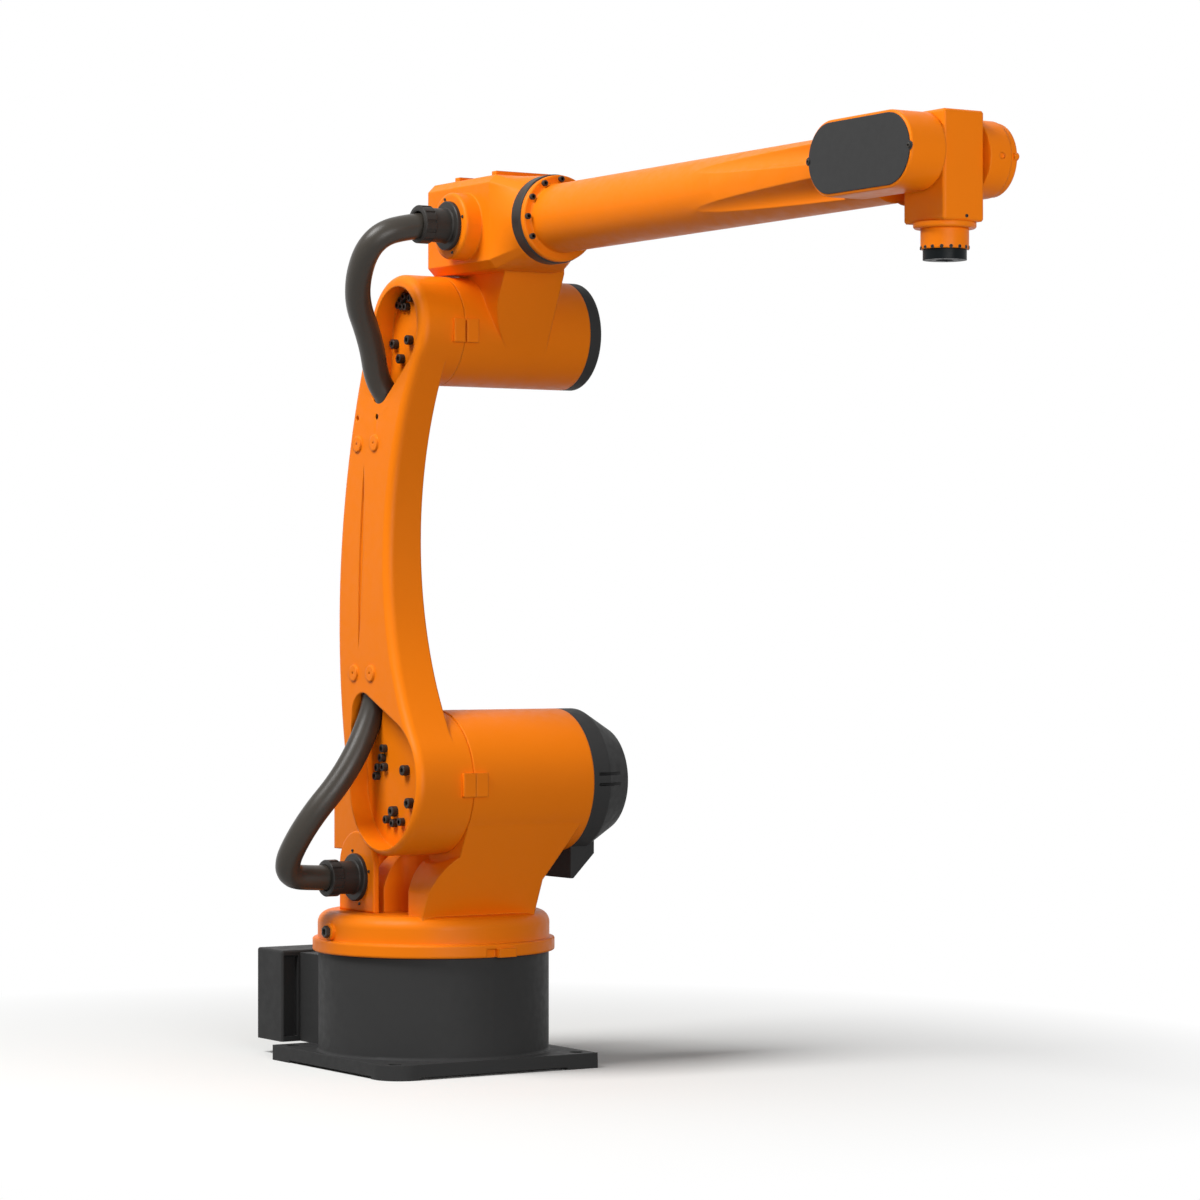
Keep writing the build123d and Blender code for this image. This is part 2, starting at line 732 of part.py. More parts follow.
# Wrist block between the fork arms, with a trunnion on each side
with BuildPart() as wrist_block:
    with BuildSketch(tool_axis.offset(-wrist_block_bottom)):
        with Locations(((wrist_block_front - wrist_block_rear) / 2, 0)):
            Rectangle(wrist_block_front + wrist_block_rear, 2 * wrist_block_half)
    extrude(amount=wrist_block_bottom + wrist_block_top)
    chamfer(wrist_block.edges(), wrist_block_chamfer)
    with BuildSketch(wrist_axis.offset(-fork_inner_y + seat_gap)):
        Circle(trunnion_radius)
    extrude(amount=2 * (fork_inner_y - seat_gap))
save(wrist_block, "wrist_block")

# Wrist collar and neck below the block
with BuildPart() as wrist_collar:
    with BuildSketch(tool_axis.offset(-wrist_block_bottom)):
        Circle(collar_radius)
    extrude(amount=-collar_height)
    chamfer(wrist_collar.faces().sort_by(Axis.Z)[0].edges(), collar_bevel)
save(wrist_collar, "wrist_collar")

neck_drop = -wrist_block_bottom - collar_height
with BuildPart() as wrist_neck:
    with BuildSketch(tool_axis.offset(neck_drop)):
        Circle(wrist_neck_radius)
    extrude(amount=-wrist_neck_height)
save(wrist_neck, "wrist_neck")

# Tool flange with its four tapped holes and centring recess
flange_top = neck_drop - wrist_neck_height - seam_gap
with BuildPart() as tool_flange:
    with BuildSketch(tool_axis.offset(flange_top)):
        Circle(flange_radius)
    extrude(amount=-flange_thickness)
    flange_face = tool_flange.faces().sort_by(Axis.Z)[0]
    with BuildSketch(flange_face):
        Circle(flange_pilot / 2)
    extrude(amount=-flange_pilot_depth, mode=Mode.SUBTRACT)
    with BuildSketch(flange_face):
        with PolarLocations(flange_pcd / 2, 4, start_angle=45):
            Circle(flange_hole / 2)
    extrude(amount=-flange_hole_depth, mode=Mode.SUBTRACT)
save(tool_flange, "tool_flange")


def gland(name, x, y, z):
    """A hose gland on a face at this Y: a wide nut and a sleeve, both with room for the hose."""
    with BuildPart() as fitting:
        with BuildSketch(Plane((x, y, z), x_dir=(1, 0, 0), z_dir=(0, -1, 0))):
            Circle(gland_nut_radius)
            Circle(hose_radius + seat_gap, mode=Mode.SUBTRACT)
        extrude(amount=gland_nut_length)
        with BuildSketch(Plane((x, y - gland_nut_length, z), x_dir=(1, 0, 0), z_dir=(0, -1, 0))):
            Circle(sleeve_radius)
            Circle(hose_radius + seat_gap, mode=Mode.SUBTRACT)
        extrude(amount=sleeve_length)
    save(fitting, name)


gland("lower_gland", gland_plate_x, gland_plate_face_y, lower_gland_z)
gland("upper_gland", gland_boss_x, -motor_box_half - gland_boss_proud, gland_boss_z)


def hose(name, points, bends):
    """A hose along straight runs with a tangent arc at each bend."""
    with BuildPart() as tube:
        with BuildLine() as route:
            FilletPolyline(*points, radius=bends)
        with BuildSketch(route.line ^ 0):
            Circle(hose_radius)
        sweep(path=route.line)
    save(tube, name)


hose("lower_hose", lower_hose_points, lower_hose_bends)
hose("upper_hose", upper_hose_points, upper_hose_bends)
hose("arm_hose", arm_hose_points, arm_hose_bend)

# Ribs across the top of the motor box
for name, x in zip(("rear_top_rib", "front_top_rib"), rib_places):
    with BuildPart() as rib:
        with BuildSketch(Plane.XY.offset(forearm_z + motor_box_half)):
            with Locations((x, 0)):
                Rectangle(rib_thickness, 2 * rib_half_length)
        extrude(amount=rib_height)
    save(rib, name)


def zero_mark(name, axis_z, drop, radius, reach, edge_y, width):
    """Half of a zero mark: a small block on the front of a barrel, from one side of the seam."""
    with BuildPart() as mark:
        with BuildSketch(Plane.YZ.offset(shoulder_x)):
            with Locations((edge_y + width / 2, axis_z - drop)):
                Rectangle(abs(width), mark_height)
        extrude(amount=reach)
        with BuildSketch(Plane((shoulder_x, edge_y, axis_z), z_dir=(0, width, 0))):
            Circle(radius)
        extrude(amount=abs(width), mode=Mode.SUBTRACT)
    save(mark, name)


shoulder_reach = barrel_radius + mark_proud
elbow_reach = elbow_radius + mark_proud
zero_mark("shoulder_mark", shoulder_z, 0, barrel_radius, shoulder_reach, barrel_left_y, mark_width)
zero_mark("lower_arm_mark", shoulder_z, 0, arm_shoulder_radius, shoulder_reach, arm_inner_y, -mark_width)
zero_mark(
    "upper_arm_mark",
    elbow_z,
    elbow_mark_drop,
    arm_elbow_radius,
    elbow_reach,
    arm_inner_y - elbow_mark_relief,
    elbow_mark_relief - mark_width,
)
zero_mark("elbow_mark", elbow_z, elbow_mark_drop, elbow_radius, elbow_reach, elbow_left_y, mark_width)
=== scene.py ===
# %% [markdown]
# # A six-axis robot arm
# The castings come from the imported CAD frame, in metres and in the same place as in the CAD. This lesson
# gives them their paint, adds the hoses, screws and fittings that are too small or too soft for the CAD,
# and sets up the studio.

# %% Load the frame
from math import atan2, cos, pi, radians, sin

import bmesh
import bpy
from mathutils import Matrix, Vector


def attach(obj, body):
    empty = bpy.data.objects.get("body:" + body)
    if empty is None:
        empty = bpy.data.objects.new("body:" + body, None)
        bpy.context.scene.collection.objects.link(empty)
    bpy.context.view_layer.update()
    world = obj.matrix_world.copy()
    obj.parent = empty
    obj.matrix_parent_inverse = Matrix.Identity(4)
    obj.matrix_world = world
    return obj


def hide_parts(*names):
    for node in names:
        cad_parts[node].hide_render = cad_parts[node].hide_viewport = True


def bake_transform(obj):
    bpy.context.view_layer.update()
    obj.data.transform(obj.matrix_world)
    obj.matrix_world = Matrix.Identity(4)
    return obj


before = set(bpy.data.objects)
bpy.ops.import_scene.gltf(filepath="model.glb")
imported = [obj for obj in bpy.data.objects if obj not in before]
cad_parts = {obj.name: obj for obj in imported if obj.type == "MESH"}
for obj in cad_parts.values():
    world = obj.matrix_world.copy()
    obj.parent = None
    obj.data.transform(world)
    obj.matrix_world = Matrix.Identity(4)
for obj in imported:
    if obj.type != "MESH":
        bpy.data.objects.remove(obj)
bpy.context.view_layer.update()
scene = bpy.context.scene
print("frame loaded:", len(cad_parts), "CAD nodes")

# %% [markdown]
# ## Camera
# The photograph was taken level with the middle of the arm, from well in front and to the left of it. A
# long lens keeps the forearm from swelling towards the viewer, and a small shift puts the arm where it
# stands in the picture.

# %% Camera
eye = Vector((5.676, -3.313, 0.733))
gaze = Vector((-0.8446, 0.5354, 0))
camera = bpy.data.objects.new("camera", bpy.data.cameras.new("camera"))
camera.data.lens = 119.4
camera.data.sensor_width = 36
camera.data.shift_x = 0.017
camera.data.shift_y = 0.0163
camera.location = eye
camera.rotation_euler = gaze.to_track_quat("-Z", "Y").to_euler()
scene.collection.objects.link(camera)
scene.camera = camera
print("camera at", tuple(round(c, 3) for c in eye))

# %% [markdown]
# ## Materials
# Every finish is worked out from what the real one is. Colours are written as sRGB hex values, as a paint
# chart gives them, and one function turns them into the linear values that the shader needs. One more
# function adds a node with its settings and links, and gives the output that the next node takes. Patterns
# read Object coordinates, which here are metres in the arm's own frame, so a pattern keeps its real size on
# every piece.


# %% Colour and node helpers
def linear(code):
    """Linear colour of an sRGB hex value."""
    channels = [int(code[i : i + 2], 16) / 255 for i in (1, 3, 5)]
    return [c / 12.92 if c <= 0.04045 else ((c + 0.055) / 1.055) ** 2.4 for c in channels] + [1]


def node(look, kind, output, settings=None):
    """Add a node and give one of its outputs. An input set to another node's output is linked to it."""
    made = look.node_tree.nodes.new(kind)
    for key, value in (settings or {}).items():
        if isinstance(value, bpy.types.NodeSocket):
            look.node_tree.links.new(value, made.inputs[key])
        elif isinstance(key, int) or key in made.inputs:
            made.inputs[key].default_value = value
        else:
            setattr(made, key, value)
    return made.outputs[output]


def per_mm(size):
    """Noise scale whose blotches are about this many millimetres across."""
    return 1000 / size


def blank_material(name):
    """A new material and its shader."""
    made = bpy.data.materials.new(name)
    made.use_nodes = True
    return made, made.node_tree.nodes["Principled BSDF"]


def dress(look, shader, colour, roughness, normal, gloss_level):
    """Link the three patterns of a finish to its shader, and set how strongly it shines."""
    for socket, pattern in (("Base Color", colour), ("Roughness", roughness), ("Normal", normal)):
        look.node_tree.links.new(pattern, shader.inputs[socket])
    shader.inputs["Specular IOR Level"].default_value = gloss_level


print("sRGB #808080 is", round(linear("#808080")[0], 3), "in linear light")

# %% [markdown]
# ### Painted castings
# The arm is cast aluminium under orange enamel, and its base and covers are charcoal. Both paints are
# sprayed on and baked. Up close, sprayed enamel has a fine orange-peel skin, and below it the faint waviness
# of the sand mould. The peel is really about half a millimetre; it is drawn at two millimetres here, because
# anything finer is lost in the picture. The Bevel node rounds the look of every edge, as a coat of paint
# does, and where the rounded normal leaves the flat one there is an edge, which handling has polished.

# %% Enamel
enamel_ior = 1.5
peel_depth = 0.00012
wave_depth = 0.0012
noise_low = 0.3
noise_high = 0.7


def enamel(name, tones, edge_tone, roughness, edge_round, gloss_level):
    """Baked enamel over a casting: peel, sand-mould waves, patchy gloss and worn edges."""
    paint, shader = blank_material(name)
    place = node(paint, "ShaderNodeTexCoord", "Object")
    patches = node(paint, "ShaderNodeTexNoise", "Fac", {"Scale": per_mm(160), "Detail": 4, "Vector": place})
    scuffs = node(paint, "ShaderNodeTexNoise", "Fac", {"Scale": per_mm(14), "Detail": 6, "Vector": place})
    peel = node(paint, "ShaderNodeTexNoise", "Fac", {"Scale": per_mm(2.2), "Detail": 2, "Vector": place})
    sand = node(paint, "ShaderNodeTexNoise", "Fac", {"Scale": per_mm(30), "Detail": 3, "Vector": place})
    rounded = node(paint, "ShaderNodeBevel", "Normal", {"Radius": edge_round, "samples": 6})
    flat = node(paint, "ShaderNodeNewGeometry", "Normal")
    along = node(paint, "ShaderNodeVectorMath", "Value", {"operation": "DOT_PRODUCT", 0: rounded, 1: flat})
    edge = node(
        paint,
        "ShaderNodeMapRange",
        "Result",
        {"Value": along, "From Min": 0.995, "From Max": 0.75, "To Min": 0.0, "To Max": 0.55},
    )
    tone = node(
        paint,
        "ShaderNodeMix",
        "Result",
        {"data_type": "RGBA", "Factor": patches, "A": linear(tones[0]), "B": linear(tones[1])},
    )
    worn = node(
        paint,
        "ShaderNodeMix",
        "Result",
        {"data_type": "RGBA", "Factor": edge, "A": tone, "B": linear(edge_tone)},
    )
    gloss = node(
        paint,
        "ShaderNodeMapRange",
        "Result",
        {
            "Value": scuffs,
            "From Min": noise_low,
            "From Max": noise_high,
            "To Min": roughness - 0.06,
            "To Max": roughness + 0.08,
        },
    )
    wavy = node(
        paint,
        "ShaderNodeBump",
        "Normal",
        {"Height": sand, "Normal": rounded, "Strength": 0.12, "Distance": wave_depth},
    )
    skin = node(
        paint,
        "ShaderNodeBump",
        "Normal",
        {"Height": peel, "Normal": wavy, "Strength": 0.35, "Distance": peel_depth},
    )
    dress(paint, shader, worn, gloss, skin, gloss_level)
    shader.inputs["IOR"].default_value = enamel_ior
    return paint


# %% Orange and charcoal paint
orange_tones = ("#EB7808", "#F07D0B")
orange_enamel = enamel(
    "orange_baked_enamel",
    orange_tones,
    edge_tone="#F5891C",
    roughness=0.42,
    edge_round=0.004,
    gloss_level=0.12,
)
charcoal_enamel = enamel(
    "charcoal_baked_enamel",
    ("#343434", "#3A3A3A"),
    edge_tone="#424242",
    roughness=0.55,
    edge_round=0.002,
    gloss_level=0.08,
)
print("paints:", orange_enamel.name, charcoal_enamel.name)

# %% [markdown]
# ### Plastic, rubber and coated steel
# The hose fittings and the seal are moulded nylon with a fine spark-eroded grain. The hose is extruded
# rubber, smooth and satin, dusted a little paler in patches. The tool flange is steel under a black oxide,
# and the screws and the plug are steel under a dark grey phosphate. Neither coat is metal itself: it is a
# dull crust, so it is drawn as one, with little gloss and no metallic shine. Grain and patches are sizes in
# millimetres. The real grains are finer than half a millimetre; they are drawn at one to three here, because
# anything finer is lost in the picture.

# %% Finish
fine_edge_round = 0.0012


def finish(name, tones, roughness, gloss_level, grain, grain_depth, patch):
    """A moulded, extruded or coated surface: two close colours, a grain and patchy gloss."""
    made, shader = blank_material(name)
    place = node(made, "ShaderNodeTexCoord", "Object")
    patches = node(made, "ShaderNodeTexNoise", "Fac", {"Scale": per_mm(patch), "Detail": 5, "Vector": place})
    grains = node(made, "ShaderNodeTexNoise", "Fac", {"Scale": per_mm(grain), "Detail": 2, "Vector": place})
    tone = node(
        made,
        "ShaderNodeMix",
        "Result",
        {"data_type": "RGBA", "Factor": patches, "A": linear(tones[0]), "B": linear(tones[1])},
    )
    gloss = node(
        made,
        "ShaderNodeMapRange",
        "Result",
        {
            "Value": patches,
            "From Min": noise_low,
            "From Max": noise_high,
            "To Min": roughness - 0.05,
            "To Max": roughness + 0.09,
        },
    )
    rounded = node(made, "ShaderNodeBevel", "Normal", {"Radius": fine_edge_round, "samples": 4})
    skin = node(
        made,
        "ShaderNodeBump",
        "Normal",
        {"Height": grains, "Normal": rounded, "Strength": 0.4, "Distance": grain_depth},
    )
    dress(made, shader, tone, gloss, skin, gloss_level)
    return made


# %% Nylon, rubber and coated steel
moulded_nylon = finish(
    "moulded_black_nylon",
    ("#262422", "#302D2A"),
    roughness=0.42,
    gloss_level=0.2,
    grain=1.6,
    grain_depth=0.00015,
    patch=25,
)
hose_rubber = finish(
    "extruded_hose_rubber",
    ("#35312B", "#3D3832"),
    roughness=0.32,
    gloss_level=0.3,
    grain=3.0,
    grain_depth=0.0002,
    patch=60,
)
black_steel = finish(
    "black_oxide_steel",
    ("#050A0C", "#0A1012"),
    roughness=0.4,
    gloss_level=0.1,
    grain=1.2,
    grain_depth=0.0001,
    patch=18,
)
screw_steel = finish(
    "phosphated_screw_steel",
    ("#2C2926", "#37332E"),
    roughness=0.42,
    gloss_level=0.25,
    grain=1.2,
    grain_depth=0.0001,
    patch=18,
)
print("finishes:", moulded_nylon.name, hose_rubber.name, black_steel.name, screw_steel.name)

# %% [markdown]
# ### Dressing the CAD nodes
# Each CAD node keeps its mesh and gets one of these finishes. Most of them are orange castings, so only the
# others are listed by name.

# %% Give every CAD node its finish
charcoal_nodes = ("base_casting", "connector_box", "shoulder_motor_cover", "elbow_motor_cap", "belt_cover")
looks = {name: charcoal_enamel for name in charcoal_nodes}
looks["forearm_seal_ring"] = moulded_nylon
looks["tool_flange"] = black_steel
for name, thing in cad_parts.items():
    for socket in thing.material_slots:
        socket.material = looks.get(name, orange_enamel)
print("dressed", len(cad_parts), "nodes")

# %% [markdown]
# ## Hoses
# One hose runs from the fitting on the carousel, through the lower arm, to the fitting on the elbow. It is
# cut into three pieces where it enters and leaves the arm, because the two outer stretches bend when the
# joints turn. Each follows a smooth NURBS line whose control points are the CAD route's, with some moved or
# added so that the line follows the photograph.

# %% Hose routes
hose_radius = 0.0205
lower_route = (
    (0.050, -0.140, 0.606),
    (0.050, -0.1409, 0.585),
    (0.056, -0.192, 0.488),
    (0.027, -0.257, 0.402),
    (-0.029, -0.271, 0.317),
    (-0.029, -0.190, 0.311),
    (-0.029, -0.130, 0.311),
)
upper_route = (
    (0.078, -0.1285, 1.060),
    (0.0805, -0.1283, 1.090),
    (0.077, -0.151, 1.118),
    (0.099, -0.174, 1.180),
    (0.143, -0.231, 1.252),
    (0.214, -0.240, 1.336),
    (0.226, -0.160, 1.358),
    (0.226, -0.104, 1.358),
)
arm_route = (lower_route[0], (0.050, -0.129, 0.853), upper_route[0])
print("hose routes of", len(lower_route), len(upper_route), "and", len(arm_route), "points")


# %% Hose tubes
def length_of(path):
    """Length of a line of points."""
    return sum((b - a).length for a, b in zip(path, path[1:]))


def hose(name, route):
    """A mesh tube along a smooth line, and the points of that line."""
    curve = bpy.data.curves.new(name + "_line", "CURVE")
    curve.dimensions = "3D"
    curve.resolution_u = 16
    line = curve.splines.new("NURBS")
    line.points.add(len(route) - 1)
    for point, place in zip(line.points, route):
        point.co = (*place, 1)
    line.order_u = 3
    line.use_endpoint_u = True
    guide = bpy.data.objects.new(name + "_guide", curve)
    scene.collection.objects.link(guide)
    bpy.context.view_layer.update()
    centre = bpy.data.meshes.new_from_object(guide)
    path = [vertex.co.copy() for vertex in centre.vertices]
    curve.bevel_depth = hose_radius
    curve.bevel_resolution = 8
    curve.use_fill_caps = True
    bpy.context.view_layer.update()
    tube = bpy.data.objects.new(name, bpy.data.meshes.new_from_object(guide))
    tube.data.name = name
    tube.data.materials.clear()
    tube.data.materials.append(hose_rubber)
    for face in tube.data.polygons:
        face.use_smooth = True
    scene.collection.objects.link(tube)
    bpy.data.objects.remove(guide)
    bpy.data.meshes.remove(centre)
    print(name, "is", round(length_of(path), 3), "m long")
    return tube, path


lower_piece, lower_path = hose("lower_hose_tube", lower_route)
upper_piece, upper_path = hose("upper_hose_tube", upper_route)
arm_piece, arm_path = hose("arm_hose_tube", arm_route)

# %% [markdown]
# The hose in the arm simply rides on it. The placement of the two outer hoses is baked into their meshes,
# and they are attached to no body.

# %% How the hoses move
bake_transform(lower_piece)
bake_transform(upper_piece)
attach(arm_piece, "lower_arm")
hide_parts("lower_hose")
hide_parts("upper_hose")
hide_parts("arm_hose")
print("two hoses bend and", round(length_of(arm_path), 3), "m of hose rides on the arm")

# %% [markdown]
# ## Turned fittings
# Each end of the hose is held by a nylon fitting: a wide nut against the casting, a plain sleeve, and a
# thicker clamping ring where the hose comes out. All three are round, so half of the outline is drawn once
# and spun about the hose's axis. The outline goes back along the inside, so the fitting has a real bore.
# Two of every six faces of the clamping ring are then sunk a little, which gives the ring its finger grip.

# %% Piece, spin and place helpers
weld_distance = 1e-6


def clean(shape):
    """Merge the doubles of a shape and turn its faces outwards."""
    bmesh.ops.remove_doubles(shape, verts=shape.verts, dist=weld_distance)
    bmesh.ops.recalc_face_normals(shape, faces=shape.faces)


def piece(name, shape, look, body):
    """Turn a bmesh into an object that rides on a body and takes its finish from a slot."""
    clean(shape)
    mesh = bpy.data.meshes.new(name)
    shape.to_mesh(mesh)
    shape.free()
    mesh.materials.append(look)
    made = bpy.data.objects.new(name, mesh)
    scene.collection.objects.link(made)
    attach(made, body)
    print(name, "has", len(mesh.polygons), "faces and rides on", body)
    return made


def turn(shape, outline, steps, closed=True):
    """Spin an outline of (radius, height) pairs about +Z."""
    ring = [shape.verts.new((radius, 0, height)) for radius, height in outline]
    following = ring[1:] + ring[:1] if closed else ring[1:]
    edges = [shape.edges.new(pair) for pair in zip(ring, following)]
    bmesh.ops.spin(
        shape,
        geom=ring + edges,
        axis=(0, 0, 1),
        cent=(0, 0, 0),
        angle=2 * pi,
        steps=steps,
        use_merge=True,
        use_duplicate=False,
    )


def put(shape, verts, point, direction, spin=0.0):
    """Move vertices drawn along +Z to a point, with +Z turned to a direction."""
    turned = Vector(direction).to_track_quat("Z", "Y").to_matrix().to_4x4()
    placed = Matrix.Translation(point) @ turned @ Matrix.Rotation(spin, 4, "Z")
    bmesh.ops.transform(shape, matrix=placed, verts=verts)


# %% Outline of a hose fitting
left = (0, -1, 0)
nut_radius = 0.039
bore_radius = 0.0208
sleeve_radius = 0.0268
clamp_radius = 0.0302
clamp_start = 0.0388
clamp_end = 0.0565
fitting_outline = (
    (bore_radius, 0.0),
    (nut_radius, 0.0),
    (nut_radius, 0.0055),
    (nut_radius - 0.0015, 0.007),
    (sleeve_radius + 0.0017, 0.0075),
    (sleeve_radius + 0.0004, 0.0095),
    (sleeve_radius, 0.036),
    (sleeve_radius + 0.0007, 0.0377),
    (clamp_radius - 0.0008, 0.038),
    (clamp_radius, clamp_start),
    (clamp_radius, clamp_end),
    (clamp_radius - 0.0012, 0.0583),
    (bore_radius + 0.0027, 0.059),
    (bore_radius, 0.0577),
)
print("fitting outline of", len(fitting_outline), "points")

# %% Hose fittings
fitting_steps = 72
grip_rim = 0.0006
grip_depth = 0.0016
surface_tolerance = 1e-5


def is_grip(face):
    """Whether a face lies on the outside of the clamping ring."""
    outside = min(v.co.xy.length for v in face.verts) > clamp_radius - surface_tolerance
    return outside and clamp_start < face.calc_center_median().z < clamp_end


def angle_of(face):
    """Where a face lies round the axis."""
    middle = face.calc_center_median()
    return atan2(middle.y, middle.x)


for name, body, place in (
    ("lower_hose_fitting", "carousel", lower_route[-1]),
    ("upper_hose_fitting", "elbow", upper_route[-1]),
):
    shape = bmesh.new()
    turn(shape, fitting_outline, fitting_steps)
    clean(shape)
    grip = sorted((face for face in shape.faces if is_grip(face)), key=angle_of)
    bmesh.ops.inset_region(shape, faces=grip[::6] + grip[1::6], thickness=grip_rim, depth=-grip_depth)
    put(shape, list(shape.verts), place, left)
    fitting = piece(name, shape, moulded_nylon, body)
    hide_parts(name.replace("_hose_fitting", "_gland"))

# %% [markdown]
# ## Screws
# The gearboxes are held by socket-head screws. One screw is a short head with a bevelled rim and a hexagon
# socket sunk into it. It is drawn along +Z and then moved to its place, which is a point on the casting and
# the direction that the casting faces there. Each screw is turned a little further than the one before, as
# screws end up at any angle when they are tightened.


# %% Screw heads
def top_of(faces):
    """The highest of some faces."""
    return max(faces, key=lambda face: face.calc_center_median().z)


def round_rim(shape, face, width):
    """Bevel the edges round a face."""
    bmesh.ops.bevel(
        shape,
        geom=list(face.edges),
        offset=width,
        offset_type="OFFSET",
        affect="EDGES",
        segments=2,
        profile=0.5,
        material=-1,
    )


def head(shape, sides, radius, height):
    """A plain prism that stands on Z = 0."""
    made = bmesh.ops.create_cone(
        shape, cap_ends=True, cap_tris=False, segments=sides, radius1=radius, radius2=radius, depth=height
    )["verts"]
    bmesh.ops.translate(shape, verts=made, vec=(0, 0, height / 2))
    return made


# %% Socket screws
head_sides = 20
rim_share = 0.14
socket_share = 0.55
socket_depth_share = 0.6
tightening_step = 0.4


def socket_screw(shape, radius, height):
    """A round head with a bevelled rim and a hexagon socket, standing on Z = 0."""
    before = set(shape.verts)
    body = set(head(shape, head_sides, radius, height))
    round_rim(shape, top_of(f for f in shape.faces if body.issuperset(f.verts)), radius * rim_share)
    made = {v for v in shape.verts if v not in before}
    top = top_of(f for f in shape.faces if len(f.verts) == head_sides and made.issuperset(f.verts))
    rim = list(top.edges)
    bmesh.ops.delete(shape, geom=[top], context="FACES_ONLY")
    socket_radius = radius * socket_share
    hexagon = bmesh.ops.create_circle(shape, cap_ends=False, segments=6, radius=socket_radius)["verts"]
    bmesh.ops.translate(shape, verts=hexagon, vec=(0, 0, height))
    sides = list({e for v in hexagon for e in v.link_edges})
    bmesh.ops.bridge_loops(shape, edges=rim + sides)
    sunk = bmesh.ops.extrude_edge_only(shape, edges=sides)["geom"]
    floor = [g for g in sunk if isinstance(g, bmesh.types.BMVert)]
    bmesh.ops.translate(shape, verts=floor, vec=(0, 0, -height * socket_depth_share))
    bmesh.ops.contextual_create(shape, geom=floor)
    return [v for v in shape.verts if v not in before]


def screws(name, body, places, radius, height):
    """Equal screws, joined into one piece. Each place is a point and the direction that the head faces."""
    shape = bmesh.new()
    for count, (point, direction) in enumerate(places):
        made = socket_screw(shape, radius, height)
        put(shape, made, point, direction, spin=tightening_step * count)
    piece(name, shape, screw_steel, body)


# %% [markdown]
# The pocket at the shoulder shows small screws in two clusters and three larger ones, and the one at the
# elbow a cluster of six and three larger ones. Their X and Z are in millimetres, and their Y is the pocket
# floor.

# %% Screws in the two pockets of the lower arm
shoulder_floor = -0.138
elbow_floor = -0.111
shoulder_small = ((83, 525), (78, 510), (66, 494), (85, 495), (60, 480), (94, 411), (116, 406), (140, 409))
shoulder_large = ((153, 492), (168, 440), (116, 425))
elbow_small = ((87, 1241), (95, 1248), (107, 1254), (125, 1250), (98, 1238), (110, 1237))
elbow_large = ((119, 1183), (92, 1154), (72, 1179))


def on_floor(places, floor):
    """Points in metres on a pocket floor that faces left, each with that direction."""
    return [((x / 1000, floor, z / 1000), left) for x, z in places]


for name, places, floor, radius, height in (
    ("shoulder_gear_screws", shoulder_small, shoulder_floor, 0.0066, 0.009),
    ("shoulder_hub_screws", shoulder_large, shoulder_floor, 0.0085, 0.011),
    ("elbow_gear_screws", elbow_small, elbow_floor, 0.0062, 0.009),
    ("elbow_hub_screws", elbow_large, elbow_floor, 0.0078, 0.01),
):
    screws(name, "lower_arm", on_floor(places, floor), radius, height)

# %% [markdown]
# The forearm is bolted to its gearbox by a ring of screws. The photograph shows them thirty degrees apart,
# and none at the bottom of the flange.

# %% Screws of the forearm flange
forward = (1, 0, 0)
forearm_z = 1.3615
flange_front = 0.3945
flange_circle = 0.0615
flange_turns = [radians(angle) for angle in range(-30, 211, 30)]
flange_places = [
    ((flange_front, flange_circle * cos(a), forearm_z + flange_circle * sin(a)), forward)
    for a in flange_turns
]
screws("forearm_flange_screws", "forearm", flange_places, radius=0.0048, height=0.005)

# %% [markdown]
# The smaller screws: four round each hose fitting, one at each end of the belt cover, one on the front of
# the wrist, and a row of set screws round the foot of the wrist's neck.

# %% Screws round the hose fittings
fitting_circle = 0.0445
fitting_turns = [radians(15 + 90 * quarter) for quarter in range(4)]
for name, body, (x, y, z) in (
    ("gland_plate_screws", "carousel", lower_route[-1]),
    ("gland_boss_screws", "elbow", upper_route[-1]),
):
    places = [((x + fitting_circle * cos(a), y, z + fitting_circle * sin(a)), left) for a in fitting_turns]
    screws(name, body, places, radius=0.0024, height=0.0018)

# %% Screws of the belt cover and the wrist
belt_face = -0.0975
belt_ends = (1.195, 1.425)
belt_z = 1.3665
belt_places = [((x, belt_face, belt_z), left) for x in belt_ends]
screws("belt_cover_screws", "forearm", belt_places, radius=0.0035, height=0.002)
wrist_screw_place = (1.419, 0.004, 1.278)
screws("wrist_block_screw", "wrist", [(wrist_screw_place, forward)], radius=0.0024, height=0.0012)
wrist_x = 1.376
neck_radius = 0.033
neck_screw_z = 1.2376
neck_screw_count = 16
neck_turns = [2 * pi * count / neck_screw_count for count in range(neck_screw_count)]
neck_places = [
    ((wrist_x + neck_radius * cos(a), neck_radius * sin(a), neck_screw_z), (cos(a), sin(a), 0))
    for a in neck_turns
]
screws("wrist_neck_screws", "wrist", neck_places, radius=0.0026, height=0.0008)

# %% [markdown]
# ## Lip of the upper slot
# Where the hose leaves the arm, the wall in front of its tunnel runs out to nothing, so the slot would end
# in a point. On the real casting the slot ends in a full round. A thin curved lip gives that round: a small
# rectangle is spun through part of a turn about the slot's end centre, and lies flush in the sloping face
# of the arm. Its paint has next to no edge rounding, so that its outline doesn't show as a step.

